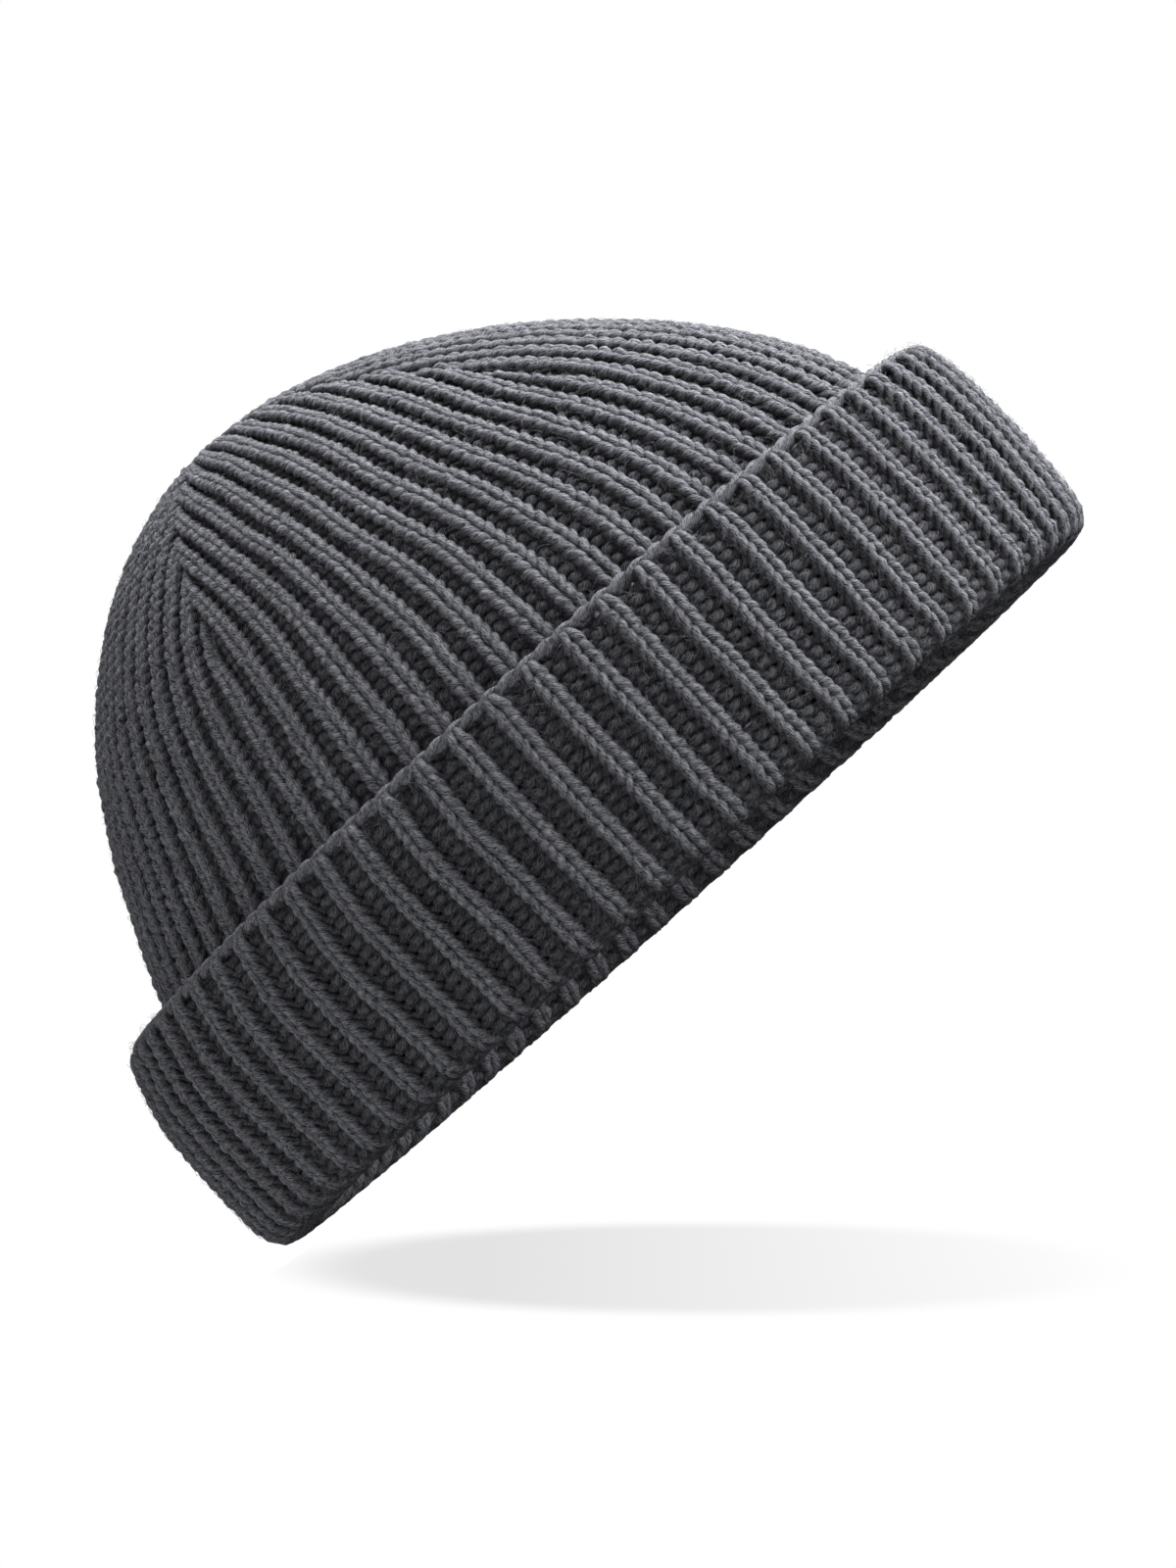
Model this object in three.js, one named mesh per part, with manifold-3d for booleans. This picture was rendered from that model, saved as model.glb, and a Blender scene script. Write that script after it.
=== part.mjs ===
// Knit beanie with a deep turn-up cuff, as a three.js scene graph in millimetres.
// +Z is up through the crown, +X is the face side, and the origin is the middle of the rim, on the plane
// that the hat stands on. The rib fabric comes down the head as a band, folds outwards at the rim and comes
// back up as the cuff. Five darts close the crown, and one seam runs up the back.
import * as THREE from 'three';
import { mergeVertices } from 'three/addons/utils/BufferGeometryUtils.js';
import Module from 'manifold-3d';

// Driving dimensions
const BAND_RADIUS = 98.4; // outside of the band along X, where it is widest
const ROUNDNESS = 0.92; // breadth across Y over length along X
const CROWN_TOP = 130; // height of the crown's outside over the rim
const SPRING_HEIGHT = 34; // the crown starts to close in here
const SHOULDER = 1.55; // how late the crown closes in
const POINT = 0.53; // how flat the crown's top is
const LEAN = 12; // the apex sits this far towards the back
const LEAN_DELAY = 2.15; // the lean grows towards the top
const FABRIC = 5; // thickness of the rib fabric of the band and crown
const CUFF_FABRIC = 5.5; // the cuff's fabric lies relaxed, so it is thicker
const GAP = 0.3; // clearance between neighbouring pieces

// Where the darts run, in degrees from the face side towards the left, before the fabric is spread
const DARTS = { front_left: 36, back_left: 108, back: 180, back_right: 252, front_right: 324 };
const SPREAD = 0.055; // the ribs lie further apart at the face side and closer at the back, by this part
const DART_HEIGHT = 94; // the darts and the crown's gores start here
const DART_WIDTH = 3; // the two edges that a dart draws together
const DART_RIDGE = 3; // how far a dart stands into the hat
const CLOSURE_RADIUS = 6; // the gathered stitches at the apex

const FOLD_HEIGHT = 8; // the rolled fold at the rim
const FOLD_INNER = BAND_RADIUS - FABRIC;
const FOLD_OUTER = 109.8;
const FOLD_FLAT = [97.5, 105.5]; // inner and outer radius of the fold's flat underside
const FOLD_SHOULDER = 3.2; // height where the fold's sides turn in to its underside

const CUFF_BOTTOM = FOLD_HEIGHT + GAP;
const CUFF_TOP = 49;
const CUFF_RADIUS = 110; // the cuff's widest outside radius
const CUFF_WIDEST = 20; // height of that radius
const CUFF_SHOULDER = { radius: 107.4, height: 41 }; // above this the cuff curls in to the crown
const CUFF_TOP_RADIUS = 103.4; // outside radius at the cuff's upper edge
const EDGE_HEIGHT = 2.6; // the cast-on chain along the cuff's upper edge
const EDGE_DEPTH = 4.6;

const SEAM_WIDTH = 4; // the ladder of yarn that joins the fabric's two edges at the back
const LABEL = { width: 26, drop: 30, thickness: 0.8, top: 66, clear: 3.2 };
const LABEL_STITCH = { length: 24, size: 1.2, below: 2 };

const AROUND = 48; // facets round the hat
const CURVE_STEPS = 9; // facets up the crown
const BIG = 400; // longer than the hat, for cutting blocks

const YARN = { color: 0x55555d, roughness: 0.95, metalness: 0 };
const SEAM_YARN = { color: 0x4b4b53, roughness: 0.95, metalness: 0 };
const LABEL_CLOTH = { color: 0xdcdad4, roughness: 0.8, metalness: 0 };

const wasm = await Module();
wasm.setup();

// How far up the closing part of the crown a height lies, from 0 to 1
function rise(z) {
  return Math.max(0, (z - SPRING_HEIGHT) / (CROWN_TOP - SPRING_HEIGHT));
}

function bandRadius(z) {
  return BAND_RADIUS * Math.pow(Math.max(0, 1 - Math.pow(rise(z), SHOULDER)), POINT);
}

// Heights from low to high, closer together towards the apex, where the crown turns over
function heights(low, high, steps) {
  const toTop = Math.sqrt(1 - (high - low) / (CROWN_TOP - low));
  const list = [];
  for (let i = 0; i <= steps; i++) {
    const s = 1 - (1 - toTop) * (i / steps);
    list.push(CROWN_TOP - (CROWN_TOP - low) * s * s);
  }
  return list;
}

// A point a given depth inside the crown's outer profile, square to it
function inside(z, depth) {
  const step = 0.05;
  if (z > CROWN_TOP - step) return new THREE.Vector2(0, CROWN_TOP - depth);
  const slope = (bandRadius(z + step) - bandRadius(z - step)) / (2 * step);
  const scale = depth / Math.hypot(1, slope);
  return new THREE.Vector2(Math.max(0, bandRadius(z) - scale), z + slope * scale);
}

// A closed profile of the shell between two heights
function shellProfile(low, high, depth, steps) {
  const list = heights(low, high, steps);
  const outer = list.map((z) => new THREE.Vector2(bandRadius(z), z));
  const inner = list.map((z) => inside(z, depth)).reverse();
  return [...outer, ...inner, outer[0].clone()];
}

// The profile is drawn as radius and height, and turned about Z
function lathe(profile) {
  const geometry = new THREE.LatheGeometry(profile, AROUND);
  geometry.rotateX(Math.PI / 2);
  return geometry;
}

function block(x, y, z, sizeX, sizeY, sizeZ) {
  const geometry = new THREE.BoxGeometry(sizeX, sizeY, sizeZ);
  geometry.translate(x, y, z);
  return geometry;
}

function post(radius, low, high) {
  const geometry = new THREE.CylinderGeometry(radius, radius, high - low, 16);
  geometry.rotateX(Math.PI / 2);
  geometry.translate(0, 0, (low + high) / 2);
  return geometry;
}

function solid(geometry) {
  const bare = geometry.clone();
  bare.deleteAttribute('normal');
  bare.deleteAttribute('uv');
  const merged = mergeVertices(bare, 1e-4);
  const mesh = new wasm.Mesh({
    numProp: 3,
    vertProperties: new Float32Array(merged.attributes.position.array),
    triVerts: new Uint32Array(merged.index.array),
  });
  mesh.merge();
  return new wasm.Manifold(mesh);
}

function surface(manifold) {
  const mesh = manifold.getMesh();
  const geometry = new THREE.BufferGeometry();
  geometry.setAttribute('position', new THREE.BufferAttribute(mesh.vertProperties, 3));
  geometry.setIndex(new THREE.BufferAttribute(mesh.triVerts, 1));
  return geometry;
}

// Round pieces are drawn about an upright axis. A head is longer than broad and its crown sits to the back.
function fitToHead(geometry) {
  const position = geometry.attributes.position;
  for (let i = 0; i < position.count; i++) {
    const z = position.getZ(i);
    position.setX(i, position.getX(i) - LEAN * Math.pow(rise(z), LEAN_DELAY));
    position.setY(i, position.getY(i) * ROUNDNESS);
  }
  geometry.computeVertexNormals();
  return geometry;
}

function named(name, geometry, finish) {
  const mesh = new THREE.Mesh(geometry, new THREE.MeshStandardMaterial(finish));
  mesh.name = name;
  return mesh;
}

// The ring of fabric round the head, straight up from the fold and then following the crown
function bandRing() {
  const foot = FOLD_HEIGHT + GAP;
  const profile = shellProfile(SPRING_HEIGHT, DART_HEIGHT, FABRIC, CURVE_STEPS);
  profile[profile.length - 1] = new THREE.Vector2(FOLD_INNER, foot);
  const start = new THREE.Vector2(BAND_RADIUS, foot);
  return solid(lathe([start, ...profile, start.clone()]));
}

// A block through the hat's back, where the fabric's two edges meet
function backBlock(width) {
  return solid(block(-BIG / 2, 0, BIG / 2, BIG, width, BIG));
}

function headBand() {
  const open = bandRing().subtract(backBlock(SEAM_WIDTH + 2 * GAP));
  return named('head_band', fitToHead(surface(open)), YARN);
}

function bandSeam() {
  const ladder = bandRing().intersect(backBlock(SEAM_WIDTH));
  return named('band_back_seam', fitToHead(surface(ladder)), SEAM_YARN);
}

function crownShell(depth) {
  return solid(lathe(shellProfile(DART_HEIGHT + GAP, CROWN_TOP, depth, CURVE_STEPS)));
}

// The direction of a dart once the fabric is spread, in radians
function heading(dartName) {
  const even = THREE.MathUtils.degToRad(DARTS[dartName]);
  return even + SPREAD * Math.sin(even);
}

// A block turned about the upright axis to a dart's heading
function turned(geometry, dartName) {
  geometry.rotateZ(heading(dartName));
  return solid(geometry);
}

// Everything on one side of a dart, clear of it
function besideDart(dartName, side) {
  const offset = BIG / 2 + DART_WIDTH / 2 + GAP;
  return turned(block(0, side * offset, 0, BIG, BIG, BIG), dartName);
}

// One wedge of the crown, from one dart round to the next
function gore(name, firstDart, nextDart) {
  const wedge = besideDart(firstDart, 1).intersect(besideDart(nextDart, -1));
  const hole = solid(post(CLOSURE_RADIUS + GAP, 0, BIG));
  const piece = crownShell(FABRIC).intersect(wedge).subtract(hole);
  return named(name, fitToHead(surface(piece)), YARN);
}

// A dart draws two gore edges together in a ridge that stands into the hat
function dart(dartName) {
  const arm = turned(block(BIG / 2, 0, 0, BIG, DART_WIDTH, BIG), dartName);
  const hole = solid(post(CLOSURE_RADIUS + GAP, 0, BIG));
  const ridge = crownShell(FABRIC + DART_RIDGE).intersect(arm).subtract(hole);
  return named('dart_' + dartName, fitToHead(surface(ridge)), SEAM_YARN);
}

function crownClosure() {
  const plug = crownShell(FABRIC + DART_RIDGE).intersect(solid(post(CLOSURE_RADIUS, 0, BIG)));
  return named('crown_closure', fitToHead(surface(plug)), SEAM_YARN);
}

// The rolled fold: the hat stands on its flat underside
function rimFold() {
  const profile = [
    new THREE.Vector2(FOLD_FLAT[0], 0),
    new THREE.Vector2(FOLD_FLAT[1], 0),
    new THREE.Vector2(FOLD_OUTER - 1, FOLD_SHOULDER),
    new THREE.Vector2(FOLD_OUTER, FOLD_HEIGHT),
    new THREE.Vector2(FOLD_INNER, FOLD_HEIGHT),
    new THREE.Vector2(FOLD_INNER + 1, FOLD_SHOULDER),
    new THREE.Vector2(FOLD_FLAT[0], 0),
  ];
  return named('rim_fold', fitToHead(lathe(profile)), YARN);
}

function cuffProfile() {
  const outer = new THREE.SplineCurve([
    new THREE.Vector2(FOLD_OUTER, CUFF_BOTTOM),
    new THREE.Vector2(CUFF_RADIUS, CUFF_WIDEST),
    new THREE.Vector2(CUFF_SHOULDER.radius, CUFF_SHOULDER.height),
    new THREE.Vector2(CUFF_TOP_RADIUS, CUFF_TOP),
  ]).getPoints(9);
  const inner = outer.map((p) => new THREE.Vector2(p.x - CUFF_FABRIC, p.y)).reverse();
  return [...outer, ...inner, outer[0].clone()];
}

function cuff() {
  const open = solid(lathe(cuffProfile())).subtract(backBlock(SEAM_WIDTH + 2 * GAP));
  return named('turn_up_cuff', fitToHead(surface(open)), YARN);
}

function cuffSeam() {
  const ladder = solid(lathe(cuffProfile())).intersect(backBlock(SEAM_WIDTH));
  return named('cuff_back_seam', fitToHead(surface(ladder)), SEAM_YARN);
}

// The cast-on edge is a chain of stitches along the top of the cuff
function cuffEdge() {
  const low = CUFF_TOP + GAP;
  const middle = CUFF_TOP_RADIUS - CUFF_FABRIC / 2;
  const profile = [];
  for (let i = 0; i <= 8; i++) {
    const turn = (i / 8) * 2 * Math.PI;
    profile.push(new THREE.Vector2(
      middle + (EDGE_DEPTH / 2) * Math.cos(turn),
      low + EDGE_HEIGHT / 2 + (EDGE_HEIGHT / 2) * Math.sin(turn)));
  }
  profile[8].copy(profile[0]);
  return named('cuff_cast_on_edge', fitToHead(lathe(profile)), YARN);
}

// The label hangs just clear of the inside of the band's back
function labelX() {
  return LABEL.clear - inside(LABEL.top, FABRIC).x;
}

// A blank label hangs inside the back, caught at its top by a row of stitches
function careLabel() {
  const geometry = block(
    labelX(), 0, LABEL.top - LABEL.drop / 2, LABEL.thickness, LABEL.width, LABEL.drop);
  return named('care_label', fitToHead(geometry), LABEL_CLOTH);
}

function labelStitches() {
  const { length, size, below } = LABEL_STITCH;
  const x = labelX() - LABEL.thickness / 2 - GAP - size / 2;
  const bar = block(x, 0, LABEL.top - below, size, length, size);
  return named('label_stitches', fitToHead(bar), LABEL_CLOTH);
}

const beanie = new THREE.Group();
beanie.add(
  rimFold(),
  headBand(),
  bandSeam(),
  cuff(),
  cuffSeam(),
  cuffEdge(),
  gore('crown_gore_front', 'front_right', 'front_left'),
  gore('crown_gore_left', 'front_left', 'back_left'),
  gore('crown_gore_back_left', 'back_left', 'back'),
  gore('crown_gore_back_right', 'back', 'back_right'),
  gore('crown_gore_right', 'back_right', 'front_right'),
  ...Object.keys(DARTS).map(dart),
  crownClosure(),
  careLabel(),
  labelStitches(),
);

export default beanie;
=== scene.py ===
"""A rib-knit beanie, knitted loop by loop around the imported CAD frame."""

from math import cos, pi, radians, sin

import bpy
import numpy as np
from mathutils import Matrix, Vector


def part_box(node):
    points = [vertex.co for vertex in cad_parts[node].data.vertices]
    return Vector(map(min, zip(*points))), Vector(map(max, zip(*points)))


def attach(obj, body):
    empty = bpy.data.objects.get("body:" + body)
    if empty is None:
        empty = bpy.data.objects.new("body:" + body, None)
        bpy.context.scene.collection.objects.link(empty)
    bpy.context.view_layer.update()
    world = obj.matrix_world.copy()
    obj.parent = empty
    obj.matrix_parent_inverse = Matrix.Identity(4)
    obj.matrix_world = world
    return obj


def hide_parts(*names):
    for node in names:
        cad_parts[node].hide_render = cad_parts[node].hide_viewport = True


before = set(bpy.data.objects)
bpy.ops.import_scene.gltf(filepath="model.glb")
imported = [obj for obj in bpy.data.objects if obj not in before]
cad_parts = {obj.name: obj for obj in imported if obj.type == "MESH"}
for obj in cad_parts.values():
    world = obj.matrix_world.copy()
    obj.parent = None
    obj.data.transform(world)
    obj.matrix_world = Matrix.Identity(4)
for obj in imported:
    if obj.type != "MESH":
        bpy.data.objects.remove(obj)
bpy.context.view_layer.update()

MM = 0.001

# ---- Sizes, in millimetres. The frame gives the outer sizes, and the knitting follows them. ----


def span(node):
    """A node's lowest and highest corners, in millimetres."""
    low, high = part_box(node)
    return np.array(low) / MM, np.array(high) / MM


CUFF_HIGH = span("turn_up_cuff")[1]
BAND_HIGH = span("head_band")[1]
EDGE_HEIGHT = span("cuff_cast_on_edge")[1][2]
CROWN_TOP = span("crown_closure")[1][2]
CUFF_RADIUS = CUFF_HIGH[0]
BAND_RADIUS = BAND_HIGH[0]
ROUNDNESS = CUFF_HIGH[1] / CUFF_HIGH[0]
DART_HEIGHT = BAND_HIGH[2]

SPRING_HEIGHT = 34  # the crown starts to curve in here
SHOULDER = 1.55  # how late it curves in
POINT = 0.53  # how round it is at the top: 0.5 is a dome, 1 a cone
LEAN = 12  # the top lies this far back from the middle
LEAN_DELAY = 2.15  # how late on the way up it leans
FACE_BELLY = 1.3  # the band bellies this far towards the face side, just above the cuff
SPREAD = 0.055  # the ribs lie further apart at the face side and closer at the back
CUFF_CROWDING = 0.045  # the cuff was turned up by hand: its ribs lie closer at one side
CUFF_SKEW = 0.036  # and lean a little, most at the back

RIBS = 70
GORES = ("front", "left", "back_left", "back_right", "right")
DARTS = ("front_left", "back_left", "back", "back_right", "front_right")
GORE_ANGLE = 2 * pi / len(GORES)
RIBS_IN_GORE = RIBS // len(GORES)
CUFF_ROW = 2.45  # height of a course of loops where the fabric lies relaxed
CROWN_ROW = 2.7  # and where a head would stretch it
YARN = 1.04  # radius of the yarn
LEG_RISE = 1.85  # how far a loop's leg stands off the loop's head
RIB_STEP = 0.7  # how far a knit rib stands off a purl one
HALF_FABRIC = LEG_RISE + RIB_STEP / 2 + YARN
FOLD_RADIUS = (CUFF_RADIUS - BAND_RADIUS) / 2
FOLD_RELIEF = 0.06  # the ribs are pressed flat where the hat stands on them
FOLD_PRESS = 6.5  # how far from the rim they are pressed
FOLD_SQUARE = 0.68  # below 1, the fold is squarer than round
FLAT_HALF = (HALF_FABRIC - YARN) * FOLD_RELIEF + YARN
FOLD_HEIGHT = FLAT_HALF + FOLD_RADIUS
DART_BEND = 2.2  # the fabric turns into the hat over this distance at a dart
DART_DEPTH = 0.8  # and goes in this far for each millimetre that it is held back
DART_ALLOWANCE = 1.6  # how far past a dart the loops go on
DART_DROP = 10  # the ribs begin to run out this far below the top of the band
DART_EASE = 26  # over this distance they all but stop crowding together
DART_CROWDING = 0.2  # the share of the crowding that is left higher up
LOOSE_PITCH = 7.4  # a loop keeps its width down to this distance between ribs
NARROWEST = 0.74  # and then narrows down to this share of it
UNEVEN_LOOPS = 0.12  # how far a loop's points stray across and out
UNEVEN_COURSES = 0.03  # and up, in courses
PATH_STEP = 0.25  # between the points of the fabric's path

SEED = 7


# ---- The fabric's path, from the cast-on edge down the cuff, round the fold, up and over the crown ----


def rise(z):
    return np.maximum(0, (z - SPRING_HEIGHT) / (CROWN_TOP - SPRING_HEIGHT))


def crown_radius(z):
    return BAND_RADIUS * np.maximum(0, 1 - rise(z) ** SHOULDER) ** POINT


def lean(z):
    belly = np.sin(pi * np.clip((z - SPRING_HEIGHT) / (DART_HEIGHT - SPRING_HEIGHT), 0, 1))
    return FACE_BELLY * belly - LEAN * rise(z) ** LEAN_DELAY


def catmull_rom(a, b, c, d, t):
    return 0.5 * (2 * b + (c - a) * t + (2 * a - 5 * b + 4 * c - d) * t**2 + (3 * b - a - 3 * c + d) * t**3)


def even_steps(line):
    along = np.r_[0, np.cumsum(np.linalg.norm(np.diff(line, axis=0), axis=1))]
    at = np.arange(0, along[-1], PATH_STEP)
    return np.stack([np.interp(at, along, line[:, i]) for i in range(line.shape[1])], 1)


def smooth_line(points):
    """A smooth curve through points, walked in even steps."""
    p = np.array(points, float)
    p = np.vstack([2 * p[0] - p[1], p, 2 * p[-1] - p[-2]])
    t = np.linspace(0, 1, 40, endpoint=False)[:, None]
    fine = [catmull_rom(*p[i - 1 : i + 3], t) for i in range(1, len(p) - 2)]
    return even_steps(np.vstack(fine + [p[-2:-1]]))


def cuff_line():
    """The middle of the cuff's fabric, curling in to the crown at the top."""
    middle = CUFF_RADIUS - HALF_FABRIC
    points = [
        (middle - 4.2, EDGE_HEIGHT - 4),
        (middle - 2.8, EDGE_HEIGHT - 5.4),
        (middle - 1.3, 41),
        (middle - 0.4, 36.5),
        (middle + 0.1, 31),
        (middle + 0.4, 21),
        (middle, FOLD_HEIGHT),
    ]
    return smooth_line(points)


def fabric_path():
    """Radius and height along the middle of the fabric, in even steps."""
    centre = CUFF_RADIUS - HALF_FABRIC - FOLD_RADIUS
    turn = np.linspace(0, pi, 240)
    level = np.sign(np.cos(turn)) * np.abs(np.cos(turn)) ** FOLD_SQUARE
    drop = np.sin(turn) ** FOLD_SQUARE
    fold = np.stack([centre + FOLD_RADIUS * level, FOLD_HEIGHT - FOLD_RADIUS * drop], 1)
    s = np.linspace(1, 0, 400) ** 2
    z = CROWN_TOP - (CROWN_TOP - SPRING_HEIGHT) * s
    r = crown_radius(z)
    slope = np.gradient(np.stack([r, z], 1), axis=0)
    slope /= np.linalg.norm(slope, axis=1)[:, None]
    crown = np.stack([r - slope[:, 1] * HALF_FABRIC, z + slope[:, 0] * HALF_FABRIC], 1)
    crown = crown[crown[:, 0] > 0.4]
    band = [(centre - FOLD_RADIUS, FOLD_HEIGHT), (BAND_RADIUS - HALF_FABRIC, SPRING_HEIGHT - 4)]
    parts = [cuff_line(), fold[1:-1], smooth_line(band), crown]
    return even_steps(np.vstack(parts))


PATH = fabric_path()
ALONG = np.r_[0, np.cumsum(np.linalg.norm(np.diff(PATH, axis=0), axis=1))]


def path_normals():
    """The side of the fabric that faces out on the crown, and so faces in on the cuff."""
    width = 9
    kernel = np.ones(width) / width
    padded = np.pad(PATH, ((width // 2, width // 2), (0, 0)), mode="reflect", reflect_type="odd")
    even = np.stack([np.convolve(padded[:, i], kernel, "valid") for i in (0, 1)], 1)
    tangent = np.gradient(even, axis=0)
    tangent /= np.linalg.norm(tangent, axis=1)[:, None]
    return np.stack([tangent[:, 1], -tangent[:, 0]], 1)


NORMALS = path_normals()
SIZE_OF_ARC = (1 + ROUNDNESS) / 2


def on_path(m):
    return [np.interp(m, ALONG, column) for column in (*PATH.T, *NORMALS.T)]


def half_gore(m):
    """Half the width of a gore's share of the hat, along the fabric."""
    return np.interp(m, ALONG, PATH[:, 0]) * SIZE_OF_ARC * GORE_ANGLE / 2


LOWEST = int(np.argmin(PATH[:, 1]))
UP = slice(LOWEST, None)


def along_at_height(z):
    """Where the fabric reaches a height on its way up the band and crown."""
    return float(np.interp(z, PATH[UP, 1], ALONG[UP]))


# Places along the fabric, in millimetres from the cast-on edge.
M_FOLD = float(ALONG[np.argmax(PATH[:, 1] < FOLD_HEIGHT)])
M_RIM = float(ALONG[LOWEST])
M_HIDDEN = along_at_height(12)  # from here the band is behind the cuff
M_SHOWN = along_at_height(42)  # and from here it shows above the cuff
M_DART = along_at_height(DART_HEIGHT - DART_DROP)
M_GORE = along_at_height(DART_HEIGHT)
M_END = float(ALONG[-1])


def pitch_line():
    """Below the darts the ribs share the whole way round. Above, they crowd less and run out."""
    width = half_gore(ALONG)
    past = np.clip((ALONG - M_DART) / DART_EASE, 0, 1)
    follow = 1 - (1 - DART_CROWDING) * past**2 * (3 - 2 * past)
    growth = np.diff(np.log(width), prepend=np.log(width[0])) * follow
    return width[0] * 2 / RIBS_IN_GORE * np.exp(np.cumsum(growth))


PITCHES = pitch_line()


def rib_pitch(m):
    """The distance between the middles of two knit ribs."""
    return np.interp(m, ALONG, PITCHES)


def pressed(m):
    """How much of the relief is left where the fold is pressed flat."""
    return 1 - (1 - FOLD_RELIEF) * np.exp(-(((m - M_RIM) / FOLD_PRESS) ** 2))


def wander(angle, m):
    """Ribs are never quite straight."""
    slow = 0.16 * np.sin(5 * angle + m / 9) + 0.12 * np.sin(11 * angle - m / 6.1)
    return slow + 0.1 * np.sin(23 * angle + m / 4.3)


def cuff_turn(angle, m):
    """How far round the cuff's ribs are from where they leave the band."""
    past_fold = np.clip((M_RIM + 8 - m) / 20, 0, 1)
    up = np.clip(1 - m / M_FOLD, 0, 1)
    return -CUFF_CROWDING * past_fold * np.cos(angle) - CUFF_SKEW * up * (1 - np.cos(angle)) / 2


def at_dart(m, reach, out):
    """Near a dart the fabric bends into the hat: the new reach from the gore's middle, and the new depth."""
    start = half_gore(m) - DART_BEND
    past = np.maximum(reach - start, 0) / DART_BEND
    bend = np.clip((m - M_DART) / 8, 0, 1)
    held = DART_BEND * (past - np.tanh(past)) * bend
    return reach - held, out - DART_DEPTH * held


def place(m, across, out, middle_angle, darted=False):
    """Points that lie m along the fabric, across from the gore's middle line, and out from the fabric."""
    r, z, nr, nz = on_path(m)
    arc = np.maximum(r * SIZE_OF_ARC, 0.3)
    out = out * pressed(m)
    reach = np.abs(across)
    if darted:
        reach, out = at_dart(m, reach, out)
    angle = middle_angle + np.sign(across) * reach / arc
    angle = angle + wander(angle, m) / np.maximum(arc, 12)
    angle = angle + SPREAD * np.sin(angle) + cuff_turn(angle, m)
    radius = r + out * nr
    height = z + out * nz
    x = radius * np.cos(angle) + lean(height)
    y = radius * np.sin(angle) * ROUNDNESS
    return np.stack([x, y, height], -1)


# ---- Loops ----

# Half a knit loop, from its foot to the top of its head: across in mm, up in courses, out in mm.
HALF_LOOP = [
    (-0.66, -0.12, 0.40),
    (-0.70, 0.30, 1.55),
    (-0.98, 0.70, 1.85),
    (-1.30, 1.06, 1.50),
    (-1.34, 1.36, 0.42),
    (-0.80, 1.58, -0.55),
]
HEAD = (0.0, 1.66, -0.85)
LINK = -0.18  # a loop links to the next one this many courses up from its foot
EDGE_LIFT = -1.3  # in the first course the links lie this far out, towards the cuff's outside


def loop_points():
    left = np.array(HALF_LOOP)
    right = left[::-1] * (-1, 1, 1)
    return np.vstack([left, [HEAD], right])


LOOP_POINTS = loop_points()
PER_LOOP = len(LOOP_POINTS) + 1


def course_controls(rows, heights, gore, darted, rng):
    """Whole courses of a gore: its wales, the yarn's control points (rows, points, 3) and their depths."""
    middle_angle = gore * GORE_ANGLE
    wales = np.arange(-RIBS_IN_GORE + 1, RIBS_IN_GORE + 1)  # the even ones are knit, the odd ones purl
    count = len(wales)
    knit = (wales % 2 == 0)[None, :, None]
    start = np.asarray(rows)[:, None, None]
    tall = np.asarray(heights)[:, None, None]
    local = LOOP_POINTS[None, None]
    shape = (len(rows), count, len(LOOP_POINTS))
    noise = rng.normal(0, 1, (3,) + shape)
    m = start + (local[..., 1] + UNEVEN_COURSES * noise[0]) * tall
    pitch = rib_pitch(m)
    narrow = np.clip(pitch / LOOSE_PITCH, NARROWEST, 1) * tall / CUFF_ROW
    across = wales[None, :, None] * pitch / 2 + local[..., 0] * narrow + UNEVEN_LOOPS * noise[1]
    raised = local[..., 2] + RIB_STEP / 2
    out = np.where(knit, raised, -raised) + UNEVEN_LOOPS * noise[2]

    links = np.arange(-RIBS_IN_GORE, RIBS_IN_GORE + 1) + 0.5
    link_m = np.broadcast_to(start + LINK * tall, (len(rows), count + 1, 1))
    link_across = links[None, :, None] * rib_pitch(link_m) / 2
    link_out = np.where(link_m < CUFF_ROW, EDGE_LIFT, 0)
    m = np.concatenate([m, link_m[:, 1:]], 2)
    across = np.concatenate([across, link_across[:, 1:]], 2)
    out = np.concatenate([out, link_out[:, 1:]], 2)
    points = place(np.minimum(m, M_END), across, out, middle_angle, darted)
    first = place(link_m[:, :1], link_across[:, :1], link_out[:, :1], middle_angle, darted)
    points = np.concatenate([first.reshape(len(rows), 1, 3), points.reshape(len(rows), -1, 3)], 1)
    depths = np.concatenate([link_out[:, :1].reshape(len(rows), 1), out.reshape(len(rows), -1)], 1)
    outward = np.where(np.asarray(rows) < M_RIM, -1, 1)[:, None]
    return wales, points, depths * outward / (LEG_RISE + RIB_STEP / 2)


def spline(p, samples):
    """A smooth curve through the points of each row, with this many samples in each stretch."""
    before = 2 * p[:, :1] - p[:, 1:2]
    after = 2 * p[:, -1:] - p[:, -2:-1]
    q = np.concatenate([before, p, after], 1)
    stretches = (q[:, :-3], q[:, 1:-2], q[:, 2:-1], q[:, 3:])
    parts = [catmull_rom(*stretches, t) for t in np.arange(samples) / samples]
    woven = np.stack(parts, 2).reshape(p.shape[0], -1, 3)
    return np.concatenate([woven, p[:, -1:]], 1)


ASKEW = (0.11, 0.23, 0.97)  # a direction that no course starts along


def frames(p):
    """Two cross directions along each row, turning as little as they can."""
    tangent = np.gradient(p, axis=1)
    tangent /= np.linalg.norm(tangent, axis=2, keepdims=True)
    side = np.empty_like(p)
    start = np.cross(tangent[:, 0], ASKEW)
    side[:, 0] = start / np.linalg.norm(start, axis=1, keepdims=True)
    for i in range(1, p.shape[1]):
        t = tangent[:, i]
        s = side[:, i - 1] - t * np.sum(side[:, i - 1] * t, 1, keepdims=True)
        side[:, i] = s / np.linalg.norm(s, axis=1, keepdims=True)
    return side, np.cross(tangent, side)


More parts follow.
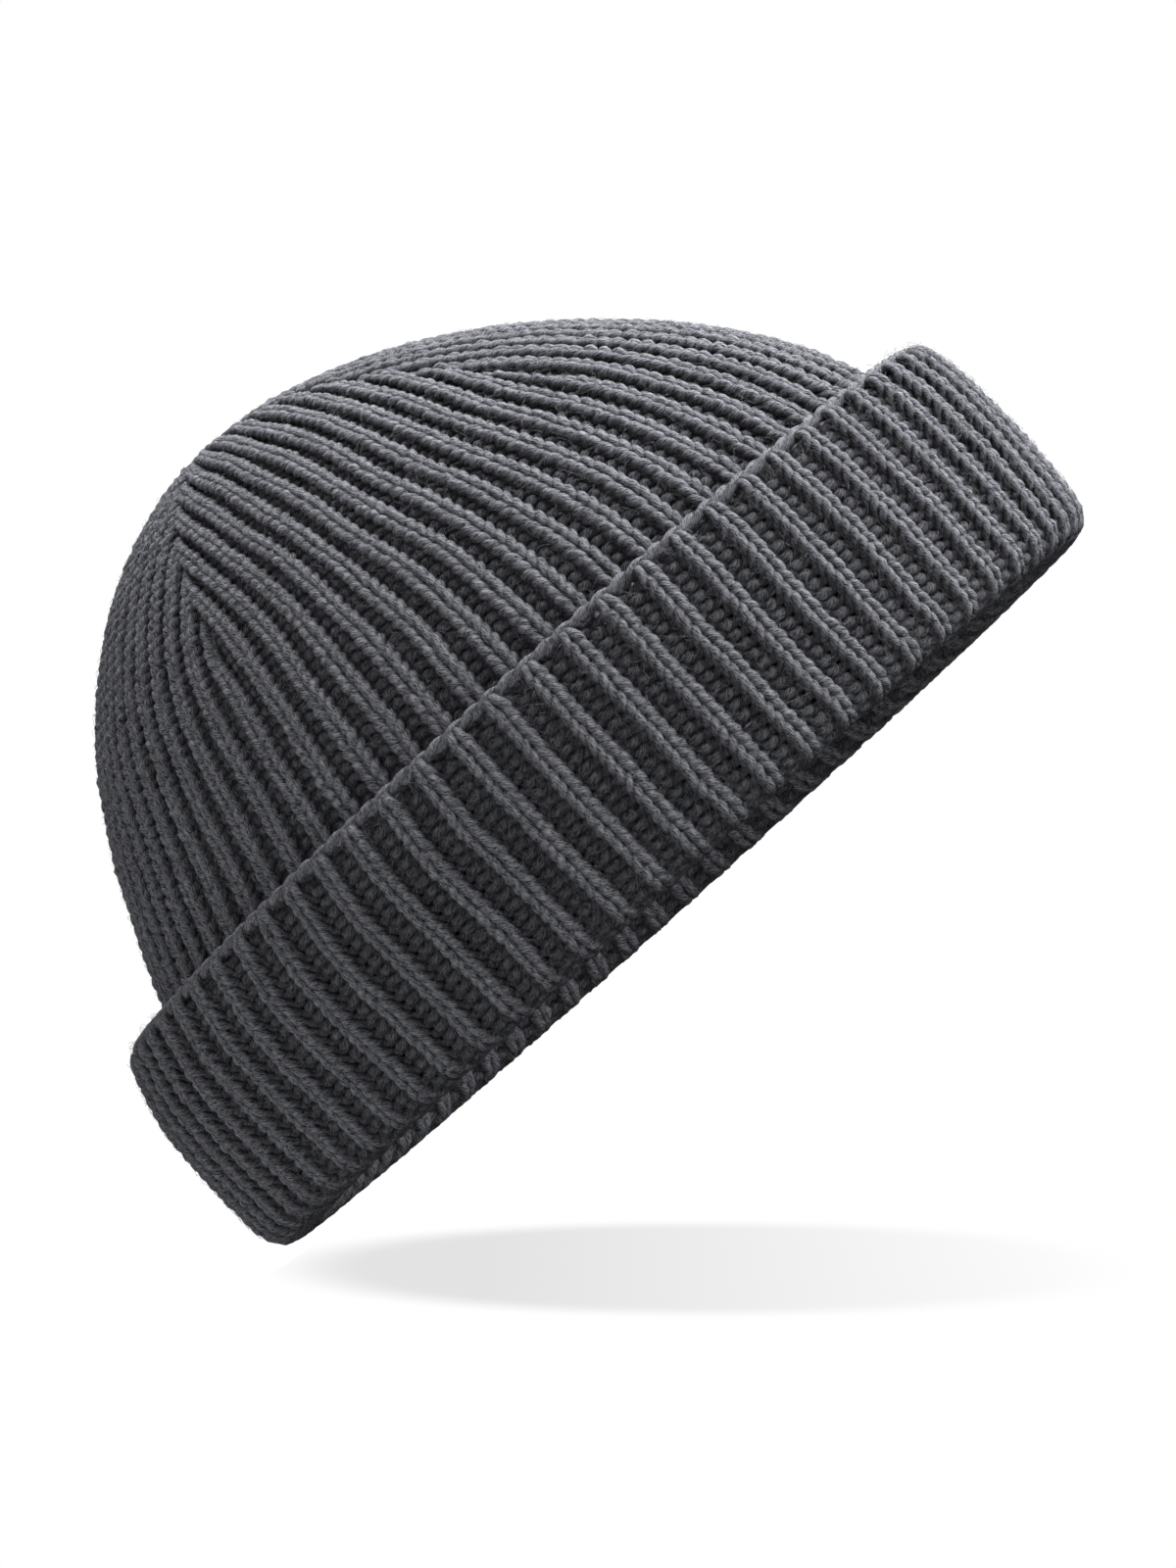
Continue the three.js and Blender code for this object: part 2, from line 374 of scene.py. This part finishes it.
def paint_gap_shade(p, ring, depth):
    """How open each point round the tubes lies, used as painted shade between the loops: 1 on the face it
    looks out of, 0 on the far face.
    """
    outward = p - np.stack([0 * p[:, 0], 0 * p[:, 1], np.minimum(p[:, 2], SPRING_HEIGHT)], 1)
    outward /= np.linalg.norm(outward, axis=1, keepdims=True)
    facing = np.sum(ring * outward[:, None], 2)
    return (0.5 + 0.5 * facing * depth[:, None]).ravel()


class Strands:
    """Collects tubes of yarn and makes one mesh of them."""

    def __init__(self, sides):
        self.sides = sides
        self.points, self.quads, self.caps, self.turns, self.lengths = [], [], [], [], []
        self.painted_gap_shade = []
        self.count = 0

    def add(self, p, side, other, radius, depth=None):
        """One tube along the points p. Depth is 1 on the fabric's outer face and -1 on its inner face; it
        sets the painted shade between the loops.
        """
        n, k = len(p), self.sides
        angle = np.arange(k) * 2 * pi / k
        ring = side[:, None] * np.cos(angle)[None, :, None] + other[:, None] * np.sin(angle)[None, :, None]
        verts = p[:, None] + ring * np.broadcast_to(radius, (n,))[:, None, None]
        base = self.count + np.arange(n * k).reshape(n, k)
        after = np.roll(base, -1, 1)
        self.quads.append(np.stack([base[:-1], after[:-1], after[1:], base[1:]], -1).reshape(-1, 4))
        self.caps += [base[0][::-1], base[-1]]
        length = np.r_[0, np.cumsum(np.linalg.norm(np.diff(p, axis=0), axis=1))]
        low = np.arange(k) / k
        u = np.stack([low, low + 1 / k, low + 1 / k, low], -1)
        v = np.stack([length[:-1], length[:-1], length[1:], length[1:]], -1)
        self.turns.append(np.broadcast_to(u, (n - 1, k, 4)).reshape(-1, 4))
        self.lengths.append(np.broadcast_to(v[:, None], (n - 1, k, 4)).reshape(-1, 4))
        self.points.append(verts.reshape(-1, 3))
        # Painted shade between the loops, or none where no depth is given.
        self.painted_gap_shade.append(np.ones(n * k) if depth is None else paint_gap_shade(p, ring, depth))
        self.count += n * k

    def add_line(self, controls, radius, samples=4):
        """One tube of even thickness through a few points."""
        p = spline(np.asarray(controls, float)[None], samples)
        side, other = frames(p)
        self.add(p[0], side[0], other[0], radius)

    def mesh(self, name):
        verts = np.vstack(self.points) * MM
        quads = np.vstack(self.quads)
        caps = np.vstack(self.caps)
        loops = np.r_[quads.ravel(), caps.ravel()]
        totals = np.r_[np.full(len(quads), 4), np.full(len(caps), self.sides)]
        starts = np.r_[0, np.cumsum(totals)[:-1]]
        mesh = bpy.data.meshes.new(name)
        mesh.vertices.add(len(verts))
        mesh.vertices.foreach_set("co", verts.ravel().astype(np.float32))
        mesh.loops.add(len(loops))
        mesh.loops.foreach_set("vertex_index", loops.astype(np.int32))
        mesh.polygons.add(len(totals))
        mesh.polygons.foreach_set("loop_start", starts.astype(np.int32))
        mesh.update(calc_edges=True)
        mesh.polygons.foreach_set("use_smooth", np.ones(len(totals), bool))
        uv = np.zeros((len(loops), 2), np.float32)
        uv[: quads.size, 0] = np.vstack(self.turns).ravel()
        uv[: quads.size, 1] = np.vstack(self.lengths).ravel()
        layer = mesh.uv_layers.new(name="yarn")
        layer.data.foreach_set("uv", uv.ravel())
        # Painted shade between the loops, kept on the points for the yarn's colour.
        painted_gap_shade = mesh.attributes.new("painted_gap_shade", "FLOAT", "POINT")
        painted_gap_shade.data.foreach_set("value", np.concatenate(self.painted_gap_shade).astype(np.float32))
        mesh.validate()
        return mesh


SLUB_LENGTH = 9  # samples along the yarn between one thickness and the next
SLUB = 0.035


def uneven(radius, count, rng):
    """The yarn's thickness along it, a little uneven."""
    coarse = rng.normal(0, 1, count // SLUB_LENGTH + 3)
    at = np.arange(count) / SLUB_LENGTH
    return radius * (1 + SLUB * np.interp(at, np.arange(len(coarse)), coarse))


def kept_wales(m, wales):
    """The wales of a gore that haven't run out at the darts yet."""
    reach = half_gore(m) + DART_ALLOWANCE
    kept = np.flatnonzero(np.abs(wales) * rib_pitch(m) / 2 <= reach)
    return (kept[0], kept[-1] + 1) if len(kept) > 1 else (0, 0)


def knit(name, rows, heights, gore, darted, sides, samples, seed):
    """One piece of fabric: all the courses at these places along the fabric, across one gore."""
    rng = np.random.default_rng(seed)
    # The third value is each control point's signed depth, from which the painted shade between the loops is
    # made.
    wales, controls, painted_gap_shade = course_controls(rows, heights, gore, darted, rng)
    woven = spline(controls, samples)
    at = np.arange(woven.shape[1]) / samples
    side, other = frames(woven)
    strands = Strands(sides)
    for j, m in enumerate(rows):
        first, last = kept_wales(m, wales) if darted else (0, len(wales))
        if last == first:
            continue
        a = first * PER_LOOP * samples
        b = last * PER_LOOP * samples + 1
        seen = np.interp(at[a:b], np.arange(painted_gap_shade.shape[1]), painted_gap_shade[j])
        radius = uneven(YARN * heights[j] / CUFF_ROW, b - a, rng)
        strands.add(woven[j, a:b], side[j, a:b], other[j, a:b], radius, seen)
    return strands.mesh(name)


# ---- Materials ----


def node(tree, kind, **settings):
    made = tree.nodes.new(kind)
    for key, value in settings.items():
        setattr(made, key, value)
    return made


def math(tree, operation, *values):
    """A math node whose inputs are sockets or plain numbers."""
    made = node(tree, "ShaderNodeMath", operation=operation)
    for socket, value in zip(made.inputs, values):
        if isinstance(value, (int, float)):
            socket.default_value = value
        else:
            tree.links.new(value, socket)
    return made.outputs[0]


PLIES = 3
TWIST = 0.14  # turns of the yarn in a millimetre of its length
PAINTED_GAP_SHADE = 1.45  # how quickly the painted shade darkens the yarn down between the loops
YARN_DARK = (0.03, 0.03, 0.036, 1)
YARN_LIGHT = (0.272, 0.277, 0.306, 1)
# painted shade: the loose fibres are darker than the yarn, to keep the gaps between the loops dark
FUZZ_SHADED_COLOUR = (0.09, 0.091, 0.1, 1)
THREADS = 900  # the bands of a woven label in a metre


def yarn_material():
    """Soft matt yarn of three plies: fine fibres run round it at the angle of its twist. Its colour carries
    painted shade between the loops.
    """
    material = bpy.data.materials.new("graphite_yarn")
    material.use_nodes = True
    tree = material.node_tree
    shader = tree.nodes["Principled BSDF"]
    shader.inputs["Roughness"].default_value = 0.95
    shader.inputs["Specular IOR Level"].default_value = 0.08
    link = tree.links.new
    uv = node(tree, "ShaderNodeUVMap", uv_map="yarn")
    split = node(tree, "ShaderNodeSeparateXYZ")
    link(uv.outputs[0], split.inputs[0])
    turn, length = split.outputs[0], split.outputs[1]
    twisted = math(tree, "MULTIPLY_ADD", length, TWIST, turn)

    join = node(tree, "ShaderNodeCombineXYZ")
    link(math(tree, "MULTIPLY", twisted, 24), join.inputs[0])
    link(math(tree, "MULTIPLY", length, 1.2), join.inputs[1])
    noise = node(tree, "ShaderNodeTexNoise", noise_dimensions="2D")
    noise.inputs["Scale"].default_value = 1
    noise.inputs["Detail"].default_value = 4
    noise.inputs["Roughness"].default_value = 0.7
    link(join.outputs[0], noise.inputs["Vector"])
    fibre = noise.outputs["Fac"]
    plies = math(tree, "ABSOLUTE", math(tree, "SINE", math(tree, "MULTIPLY", twisted, PLIES * pi)))
    height = math(tree, "MULTIPLY_ADD", plies, 0.35, fibre)
    ramp = node(tree, "ShaderNodeValToRGB")
    ramp.color_ramp.elements[0].position = 0.38
    ramp.color_ramp.elements[0].color = YARN_DARK
    ramp.color_ramp.elements[1].position = 0.58
    ramp.color_ramp.elements[1].color = YARN_LIGHT
    link(fibre, ramp.inputs[0])
    # Painted shade: the yarn's colour is multiplied down where it lies deep between the loops.
    painted_gap_shade = node(tree, "ShaderNodeAttribute", attribute_name="painted_gap_shade")
    painted_shade_factor = math(tree, "POWER", painted_gap_shade.outputs["Fac"], PAINTED_GAP_SHADE)
    shade = node(tree, "ShaderNodeMix", data_type="RGBA", blend_type="MULTIPLY")
    shade.inputs["Factor"].default_value = 1
    link(ramp.outputs[0], shade.inputs["A"])
    link(painted_shade_factor, shade.inputs["B"])
    link(shade.outputs["Result"], shader.inputs["Base Color"])
    bump = node(tree, "ShaderNodeBump")
    bump.inputs["Strength"].default_value = 1.0
    bump.inputs["Distance"].default_value = 0.65 * MM
    link(height, bump.inputs["Height"])
    link(bump.outputs[0], shader.inputs["Normal"])
    return material


def fuzz_material():
    """Fine fibres, coloured darker than the yarn as painted shade, so that they keep the gaps between the
    loops dark.
    """
    material = bpy.data.materials.new("graphite_fuzz")
    material.use_nodes = True
    shader = material.node_tree.nodes["Principled BSDF"]
    shader.inputs["Base Color"].default_value = FUZZ_SHADED_COLOUR
    shader.inputs["Roughness"].default_value = 0.9
    return material


def cloth_material():
    """A satin-woven label: fine crossing threads."""
    material = bpy.data.materials.new("label_satin")
    material.use_nodes = True
    tree = material.node_tree
    shader = tree.nodes["Principled BSDF"]
    shader.inputs["Roughness"].default_value = 0.55
    shader.inputs["Sheen Weight"].default_value = 0.3
    link = tree.links.new
    place_on = node(tree, "ShaderNodeTexCoord")
    wave_across = node(tree, "ShaderNodeTexWave", wave_type="BANDS", bands_direction="Y")
    wave_across.inputs["Scale"].default_value = THREADS
    wave_down = node(tree, "ShaderNodeTexWave", wave_type="BANDS", bands_direction="Z")
    wave_down.inputs["Scale"].default_value = THREADS
    link(place_on.outputs["Object"], wave_across.inputs["Vector"])
    link(place_on.outputs["Object"], wave_down.inputs["Vector"])
    weave = math(tree, "MULTIPLY", wave_across.outputs["Fac"], wave_down.outputs["Fac"])
    ramp = node(tree, "ShaderNodeValToRGB")
    ramp.color_ramp.elements[0].color = (0.52, 0.51, 0.47, 1)
    ramp.color_ramp.elements[1].color = (0.78, 0.77, 0.73, 1)
    link(weave, ramp.inputs[0])
    link(ramp.outputs[0], shader.inputs["Base Color"])
    bump = node(tree, "ShaderNodeBump")
    bump.inputs["Strength"].default_value = 0.5
    bump.inputs["Distance"].default_value = 0.05 * MM
    link(weave, bump.inputs["Height"])
    link(bump.outputs[0], shader.inputs["Normal"])
    return material


GRAPHITE = yarn_material()
FUZZ = fuzz_material()
SATIN = cloth_material()


def add_piece(name, mesh, material, replaced=()):
    """Shows a mesh as a piece of the hat, in place of these CAD nodes."""
    piece = bpy.data.objects.new(name, mesh)
    bpy.context.scene.collection.objects.link(piece)
    mesh.materials.append(material)
    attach(piece, "root")
    if replaced:
        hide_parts(*replaced)
    return piece


# ---- The fabric ----


def course_rows():
    """Where each course starts along the fabric, and how tall it is."""
    rows, heights = [], []
    m = 0.9
    while m < M_END - 2:
        tall = CUFF_ROW if m < M_RIM else CROWN_ROW
        rows.append(m)
        heights.append(tall)
        m += tall
    return np.array(rows), np.array(heights)


ROWS, HEIGHTS = course_rows()


def knit_hat():
    """All the fabric. Each part has its range along the fabric, whether the darts cut it, the yarn's sides
    and samples, and the node it stands for."""
    for index, gore in enumerate(GORES):
        parts = (
            ("cuff", 0, M_FOLD, False, 8, 2, ["turn_up_cuff"]),
            ("fold", M_FOLD, M_HIDDEN, False, 8, 1, ["rim_fold"]),
            ("lining", M_HIDDEN, M_SHOWN, False, 6, 1, []),
            ("band", M_SHOWN, M_GORE, True, 8, 2, ["head_band"]),
            ("crown", M_GORE, M_END, True, 8, 2, ["crown_gore_" + gore]),
        )
        for order, (part, low, high, darted, sides, samples, replaced) in enumerate(parts):
            chosen = (ROWS >= low) & (ROWS < high)
            seed = SEED + 10 * index + order
            name = f"{part}_{gore}"
            mesh = knit(name, ROWS[chosen], HEIGHTS[chosen], index, darted, sides, samples, seed)
            add_piece(name, mesh, GRAPHITE, replaced)


def round_hat(m, out, angle):
    """Points at these places along the fabric, right round the hat."""
    return place(m, np.zeros_like(angle), out, angle)


def cast_on_edge():
    """Two strands wrapped round each other along the cuff's upper edge."""
    strands = Strands(8)
    angle = np.linspace(0, 2 * pi, RIBS * 10 + 1)
    for phase in (0, pi):
        wrap = RIBS * angle + phase
        m = 0.25 + 0.42 * np.sin(wrap) + 0.12 * np.sin(7 * angle)
        out = -1.1 + 0.6 * np.cos(wrap)
        strands.add_line(round_hat(m, out, angle), 0.9, 1)
    add_piece("cast_on_edge", strands.mesh("cast_on_edge"), GRAPHITE, ["cuff_cast_on_edge"])


def ladder(m_low, m_high, angle, out, width):
    """A strand that goes to and fro across a seam."""
    rungs = np.arange(m_low, m_high, CROWN_ROW / 2)
    side = np.where(np.arange(len(rungs)) % 2 == 0, 1.0, -1.0)
    across = width / 2 * side
    return place(rungs, across, np.full(len(rungs), out), angle)


def back_seams():
    """The yarn that joins the fabric's two edges, in the purl channel beside the middle of the back."""
    beside = pi + rib_pitch(M_SHOWN) / 4 / (BAND_RADIUS * SIZE_OF_ARC)
    for name, low, high, out, node_name in (
        ("cuff_seam_yarn", 1, M_FOLD, -0.3, "cuff_back_seam"),
        ("band_seam_yarn", M_FOLD, M_DART, 0.3, "band_back_seam"),
    ):
        strands = Strands(8)
        strands.add_line(ladder(low, high, beside, out, 2.6), 0.8)
        add_piece(name, strands.mesh(name), GRAPHITE, [node_name])


def dart_yarns():
    """The yarn that draws two gores together runs to and fro inside each dart."""
    for index, dart in enumerate(DARTS):
        strands = Strands(8)
        angle = (index + 0.5) * GORE_ANGLE
        strands.add_line(ladder(M_DART - 3, M_END - 6, angle, -1.9, 2.4), 0.85)
        strands.add_line(ladder(M_DART - 2, M_END - 6, angle, -3.6, 2.0), 0.85)
        name = "dart_yarn_" + dart
        add_piece(name, strands.mesh(name), GRAPHITE, ["dart_" + dart])


def closure():
    """The last loops, gathered on rings of yarn and drawn across by one strand for each gore."""
    strands = Strands(8)
    angle = np.linspace(0, 2 * pi, 41)
    for radius, out in ((4.4, -0.6), (2.6, -0.9), (1.0, -0.7)):
        m = M_END + 0.4 - radius + 0.25 * np.sin(5 * angle)
        strands.add_line(round_hat(m, np.full(len(angle), out), angle), 0.95, 2)
    for turn in np.arange(len(GORES)) * GORE_ANGLE + 0.3:
        reach = np.array([5.2, 3.4, 1.6, 0.2])
        points = round_hat(M_END - reach, np.array([-1.4, 0.2, 0.5, 0.1]), np.full(4, turn))
        strands.add_line(points, 0.9)
    add_piece("closure_yarn", strands.mesh("closure_yarn"), GRAPHITE, ["crown_closure"])


# ---- Fuzz ----

FUZZ_RADIUS = 0.03


def fuzz(name, m_low, m_high, count, facing, seed):
    """Loose fibres that stand off the yarn, all round the hat between two places along the fabric."""
    rng = np.random.default_rng(seed)
    m = rng.uniform(m_low, m_high, count)
    weight = np.interp(m, ALONG, PATH[:, 0])
    m = m[rng.uniform(0, BAND_RADIUS, count) < weight]
    angle = rng.uniform(0, 2 * pi, len(m))
    reach = rng.uniform(0.6, 2.2, len(m))
    drift = rng.normal(0, 1.6, (2, len(m)))
    bow = rng.normal(0, 0.7, (2, len(m)))
    strands = Strands(3)
    t = np.linspace(0, 1, 5)
    curve = t * (1 - t)
    arc = np.interp(m, ALONG, PATH[:, 0]) * SIZE_OF_ARC
    for i in range(len(m)):
        fibre_m = m[i] + drift[0, i] * t + bow[0, i] * 4 * curve
        turn = angle[i] + (drift[1, i] * t + bow[1, i] * 4 * curve) / max(arc[i], 4)
        out = facing * (HALF_FABRIC - 0.9 + reach[i] * (t - 0.35 * t**2))
        strands.add_line(round_hat(np.clip(fibre_m, 0, M_END), out, turn), FUZZ_RADIUS, 1)
    add_piece(name, strands.mesh(name), FUZZ)


# ---- Label ----


def care_label():
    """A blank satin label that hangs from its top edge and bows a little."""
    low, high = span("care_label")
    columns, lines = 25, 31
    width, drop = high[1] - low[1], high[2] - low[2]
    across, down = np.meshgrid(np.linspace(-0.5, 0.5, columns), np.linspace(0, 1, lines))
    curl = 1.1 * across**2 * 4 * (0.3 + down) + 0.7 * np.sin(pi * down)
    x = high[0] - 0.7 + curl * 0.6
    verts = np.stack([x, across * width, high[2] - down * drop], -1).reshape(-1, 3) * MM
    index = np.arange(columns * lines).reshape(lines, columns)
    corners = np.stack([index[:-1, :-1], index[1:, :-1], index[1:, 1:], index[:-1, 1:]], -1).reshape(-1, 4)
    mesh = bpy.data.meshes.new("care_label_sheet")
    mesh.from_pydata([tuple(v) for v in verts], [], [tuple(int(i) for i in c) for c in corners])
    mesh.polygons.foreach_set("use_smooth", np.ones(len(mesh.polygons), bool))
    sheet = add_piece("care_label_sheet", mesh, SATIN, ["care_label"])
    thick = sheet.modifiers.new("thickness", "SOLIDIFY")
    thick.thickness = 0.3 * MM


def label_stitches():
    """A row of short stitches through the label's top edge into the knitting."""
    low, high = span("care_label")
    stitches = Strands(6)
    for y in np.linspace(low[1] + 2, high[1] - 2, 9):
        top, front = high[2] - 1, high[0] - 0.3
        points = [
            (front - 3.2, y - 0.8, top + 1.2),
            (front + 0.1, y - 0.5, top + 0.9),
            (front + 0.35, y, top - 0.6),
            (front + 0.1, y + 0.5, top - 2.0),
            (front - 3.0, y + 0.8, top - 2.4),
        ]
        stitches.add_line(points, 0.22, 3)
    add_piece("label_thread", stitches.mesh("label_thread"), SATIN, ["label_stitches"])


knit_hat()
cast_on_edge()
back_seams()
dart_yarns()
closure()
fuzz("cuff_fuzz", 0, M_RIM, 9000, -1, SEED + 101)
fuzz("crown_fuzz", M_SHOWN, M_END, 13000, 1, SEED + 102)
care_label()
label_stitches()

# ---- Camera, light and floor ----

VIEW_AZIMUTH = radians(8.9)
VIEW_DISTANCE = 1450
CAMERA_HEIGHT = -38  # the picture looks a little up under the rim
LOOK_AT = Vector((-0.6, 0, 28.9))
ROLL = radians(42)  # the picture shows the hat tilted this far
PICTURE_HEIGHT = 312  # millimetres that the picture takes in at the hat, from bottom to top
SENSOR = 36


def picture_axes():
    """The camera's place, and the directions that are right, up and back in the picture."""
    eye = Vector((sin(VIEW_AZIMUTH), -cos(VIEW_AZIMUTH), 0)) * VIEW_DISTANCE
    eye.z = CAMERA_HEIGHT
    back = (eye - LOOK_AT).normalized()
    level = Vector((0, 0, 1)).cross(back).normalized()
    up = back.cross(level)
    right = level * cos(ROLL) - up * sin(ROLL)
    top = level * sin(ROLL) + up * cos(ROLL)
    return eye, right, top, back


def placed(origin, x, y, z):
    """A matrix that puts an object's origin and axes here, in millimetres."""
    return Matrix.Translation(origin * MM) @ Matrix((x, y, z)).transposed().to_4x4()


def camera():
    """The photograph's camera: beside the hat, far off and rolled."""
    data = bpy.data.cameras.new("camera")
    data.sensor_fit = "VERTICAL"
    data.sensor_height = SENSOR
    data.lens = SENSOR * VIEW_DISTANCE / PICTURE_HEIGHT
    made = bpy.data.objects.new("camera", data)
    made.matrix_world = placed(*picture_axes())
    bpy.context.scene.collection.objects.link(made)
    bpy.context.scene.camera = made


def in_view(right, up, towards):
    """A direction given as it looks with the hat upright before the camera."""
    level = Vector((cos(VIEW_AZIMUTH), sin(VIEW_AZIMUTH), 0))
    near = Vector((sin(VIEW_AZIMUTH), -cos(VIEW_AZIMUTH), 0))
    return level * right + Vector((0, 0, up)) + near * towards


LIGHT_SIZE = 1.6  # metres, as is the distance
LIGHT_DISTANCE = 1.6
LIT_HEIGHT = 60  # the lights point at the middle of the hat at this height


def area_light(name, direction, power):
    """A large soft light in this direction from the hat, with its power in watts."""
    data = bpy.data.lights.new(name, "AREA")
    data.energy = power
    data.size = LIGHT_SIZE
    made = bpy.data.objects.new(name, data)
    towards_light = direction.normalized()
    made.location = Vector((0, 0, LIT_HEIGHT * MM)) + towards_light * LIGHT_DISTANCE
    made.rotation_euler = towards_light.to_track_quat("Z", "Y").to_euler()
    bpy.context.scene.collection.objects.link(made)


def studio_world(ambient):
    """A white studio: the camera sees it white, and it lights the hat dimly."""
    world = bpy.data.worlds.new("studio")
    bpy.context.scene.world = world
    world.use_nodes = True
    tree = world.node_tree
    background = tree.nodes["Background"]
    background.inputs["Color"].default_value = (1, 1, 1, 1)
    path = node(tree, "ShaderNodeLightPath")
    strength = math(tree, "MULTIPLY_ADD", path.outputs["Is Camera Ray"], 1 - ambient, ambient)
    tree.links.new(strength, background.inputs["Strength"])


def seen_by_camera(tree, surface, seen):
    """Shows the surface where the socket seen is 1, and leaves it clear elsewhere."""
    clear = node(tree, "ShaderNodeBsdfTransparent")
    mix = node(tree, "ShaderNodeMixShader")
    tree.links.new(seen, mix.inputs[0])
    tree.links.new(clear.outputs[0], mix.inputs[1])
    tree.links.new(surface, mix.inputs[2])
    tree.links.new(mix.outputs[0], tree.nodes["Material Output"].inputs["Surface"])


def stage_sheet(name, corners, matrix, material):
    """A flat sheet that belongs to the studio and not to the hat."""
    mesh = bpy.data.meshes.new(name)
    mesh.from_pydata([(x * MM, y * MM, 0) for x, y in corners], [], [tuple(range(len(corners)))])
    mesh.materials.append(material)
    made = bpy.data.objects.new(name, mesh)
    made.matrix_world = matrix
    bpy.context.scene.collection.objects.link(made)


FLOOR_NEAR = 180  # the floor takes shadows out to here
FLOOR_FAR = 420  # and is the same white as the studio from here
FLOOR_HALF = 2500
FLOOR_DROP = 0.3  # the floor lies this far below the rim, so that they don't touch


def floor_material():
    """Pale and matt near the hat, white further out, and clear from below."""
    material = bpy.data.materials.new("pale_floor")
    material.use_nodes = True
    tree = material.node_tree
    shader = tree.nodes["Principled BSDF"]
    shader.inputs["Base Color"].default_value = (0.8, 0.8, 0.8, 1)
    shader.inputs["Roughness"].default_value = 0.9
    place_on = node(tree, "ShaderNodeTexCoord")
    length = node(tree, "ShaderNodeVectorMath", operation="LENGTH")
    tree.links.new(place_on.outputs["Object"], length.inputs[0])
    far = node(tree, "ShaderNodeMapRange", interpolation_type="SMOOTHSTEP")
    far.inputs["From Min"].default_value = FLOOR_NEAR * MM
    far.inputs["From Max"].default_value = FLOOR_FAR * MM
    tree.links.new(length.outputs["Value"], far.inputs["Value"])
    white = node(tree, "ShaderNodeEmission")
    surface = node(tree, "ShaderNodeMixShader")
    tree.links.new(far.outputs[0], surface.inputs[0])
    tree.links.new(shader.outputs[0], surface.inputs[1])
    tree.links.new(white.outputs[0], surface.inputs[2])
    facing = node(tree, "ShaderNodeNewGeometry")
    path = node(tree, "ShaderNodeLightPath")
    front = math(tree, "SUBTRACT", 1, facing.outputs["Backfacing"])
    seen = math(tree, "MULTIPLY", front, path.outputs["Is Camera Ray"])
    seen_by_camera(tree, surface.outputs[0], seen)
    return material


def floor():
    """A floor under the hat. It shows only from above, as the picture looks at the rim from below."""
    corners = [(x * FLOOR_HALF, y * FLOOR_HALF) for x, y in ((-1, -1), (1, -1), (1, 1), (-1, 1))]
    stage_sheet("floor", corners, Matrix.Translation((0, 0, -FLOOR_DROP * MM)), floor_material())


SHADOW_RADIUS = 86
SHADOW_TILT = radians(2.5)  # how far the picture looks down on its shadow
SHADOW_DEPTH = 0.23  # how much darker than white it gets
SHADOW_ACROSS = 84  # its middle lies this far right of the rim's lowest corner
SHADOW_NEAR = 29  # and this far nearer the camera
SHADOW_INSET = 3  # the shadow's plane meets the rim this far in from its end
SHADOW_HALF = 95  # half the side of the sheet that shows it
SHADOW_CUT = 23  # the sheet's far left corner is cut off this far, clear of the rim


def shadow_material():
    """White with a soft round shadow, darkest at the left and fading out to the right."""
    material = bpy.data.materials.new("pale_shadow")
    material.use_nodes = True
    tree = material.node_tree
    place_on = node(tree, "ShaderNodeTexCoord")
    split = node(tree, "ShaderNodeSeparateXYZ")
    tree.links.new(place_on.outputs["Object"], split.inputs[0])
    across = math(tree, "DIVIDE", split.outputs[0], SHADOW_RADIUS * MM)
    along = math(tree, "DIVIDE", split.outputs[1], SHADOW_RADIUS * MM)
    squares = math(tree, "MULTIPLY_ADD", across, across, math(tree, "MULTIPLY", along, along))
    edge = node(tree, "ShaderNodeMapRange", interpolation_type="SMOOTHSTEP")
    edge.inputs["From Min"].default_value = 1.05
    edge.inputs["From Max"].default_value = 0.78
    tree.links.new(math(tree, "SQRT", squares), edge.inputs["Value"])
    fade = node(tree, "ShaderNodeMapRange")
    fade.inputs["From Min"].default_value = 1.04
    fade.inputs["From Max"].default_value = -0.5
    tree.links.new(across, fade.inputs["Value"])
    dark = math(tree, "MULTIPLY", math(tree, "MULTIPLY", edge.outputs[0], fade.outputs[0]), -SHADOW_DEPTH)
    glow = node(tree, "ShaderNodeEmission")
    tree.links.new(math(tree, "ADD", dark, 1), glow.inputs["Strength"])
    path = node(tree, "ShaderNodeLightPath")
    seen_by_camera(tree, glow.outputs[0], path.outputs["Is Camera Ray"])
    return material


def shadow():
    """The picture's shadow, under the rim's lowest corner, on a plane that is level in the picture."""
    _, right, top, back = picture_axes()
    away = top * sin(SHADOW_TILT) - back * cos(SHADOW_TILT)
    normal = top * cos(SHADOW_TILT) + back * sin(SHADOW_TILT)
    level = right * cos(ROLL) + top * sin(ROLL)
    centre = level * (SHADOW_INSET - CUFF_RADIUS) + right * SHADOW_ACROSS - away * SHADOW_NEAR
    half = SHADOW_HALF
    corners = [(-half, -half), (half, -half), (half, half), (SHADOW_CUT - half, half)]
    stage_sheet("shadow", corners, placed(centre, right, away, normal), shadow_material())


camera()
area_light("side", in_view(1, 0.1, 0.1), 84)
area_light("top", in_view(0.6, 0.8, -0.4), 98)
area_light("front", in_view(-0.2, -0.2, 1), 18)
area_light("far_side", in_view(-1, 0.2, 0.3), 12)
studio_world(0.04)
floor()
shadow()
bpy.context.scene.view_settings.view_transform = "Standard"
